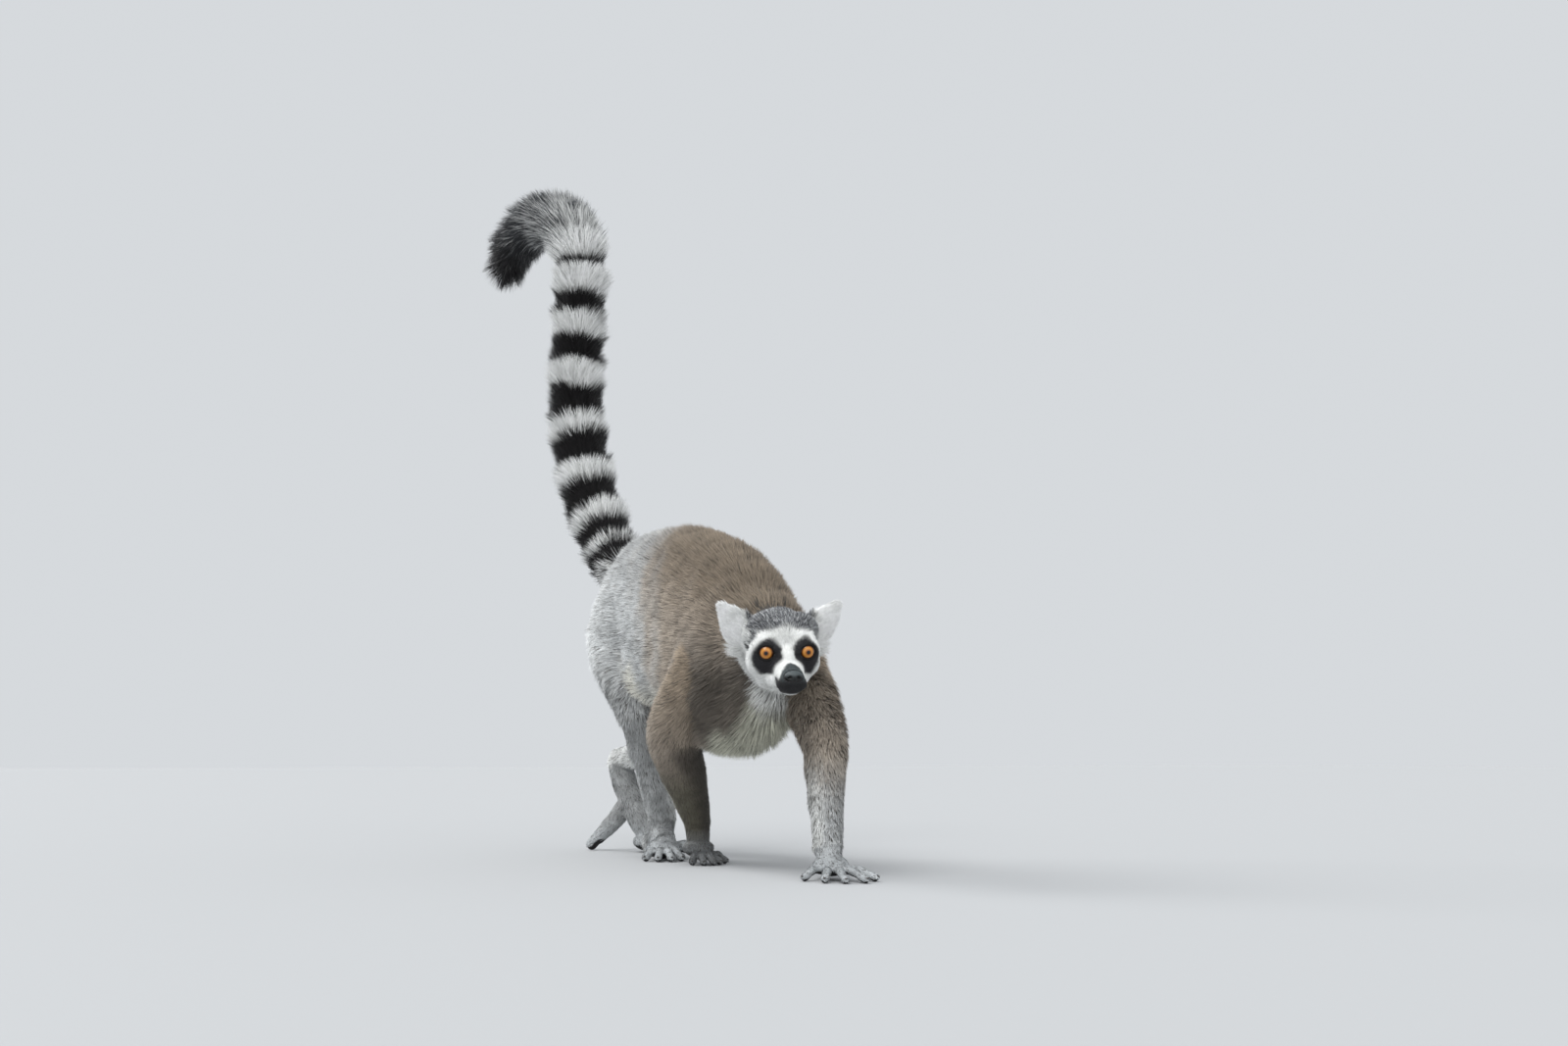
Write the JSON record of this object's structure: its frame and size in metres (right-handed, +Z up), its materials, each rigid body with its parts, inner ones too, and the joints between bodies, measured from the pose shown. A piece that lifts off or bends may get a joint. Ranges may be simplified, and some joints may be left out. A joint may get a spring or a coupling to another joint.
{
  "type": "ring-tailed lemur",
  "caption": "Ring-tailed lemur in a walking stance with its banded tail raised and curled over, as a still, life-size museum model.",
  "frame": {"origin": "on the floor, under the middle of the model's box", "axes": "+Z up; the body points towards -Y, with its tail at +Y, and the animal's left is +X"},
  "size_m": [0.1696, 0.636, 0.7066],
  "materials": {
    "coat": "dense soft fur, brown on the back and grey on the flanks",
    "coat_white": "soft whitish fur",
    "coat_black": "soft black fur",
    "bare_skin": "moist, finely pitted skin",
    "eye": "wet amber eye"
  },
  "bodies": {
    "root": {"abdomen": "coat", "chest": "coat", "ear_left": "coat_white", "ear_right": "coat_white", "eye_left": "eye", "eye_right": "eye", "foot_left": "coat", "foot_right": "coat", "forearm_left": "coat", "forearm_right": "coat", "hand_left": "coat", "hand_right": "coat", "head": "coat_white", "muzzle": "coat_black", "neck": "coat_white", "nose": "bare_skin", "ruff": "coat_white", "rump": "coat", "shank_left": "coat", "shank_right": "coat", "tail_1": "coat_white", "tail_2": "coat_black", "tail_3": "coat_white", "tail_4": "coat_black", "tail_5": "coat_white", "tail_6": "coat_black", "thigh_left": "coat", "thigh_right": "coat", "upper_arm_left": "coat", "upper_arm_right": "coat"}
  },
  "joints": []
}
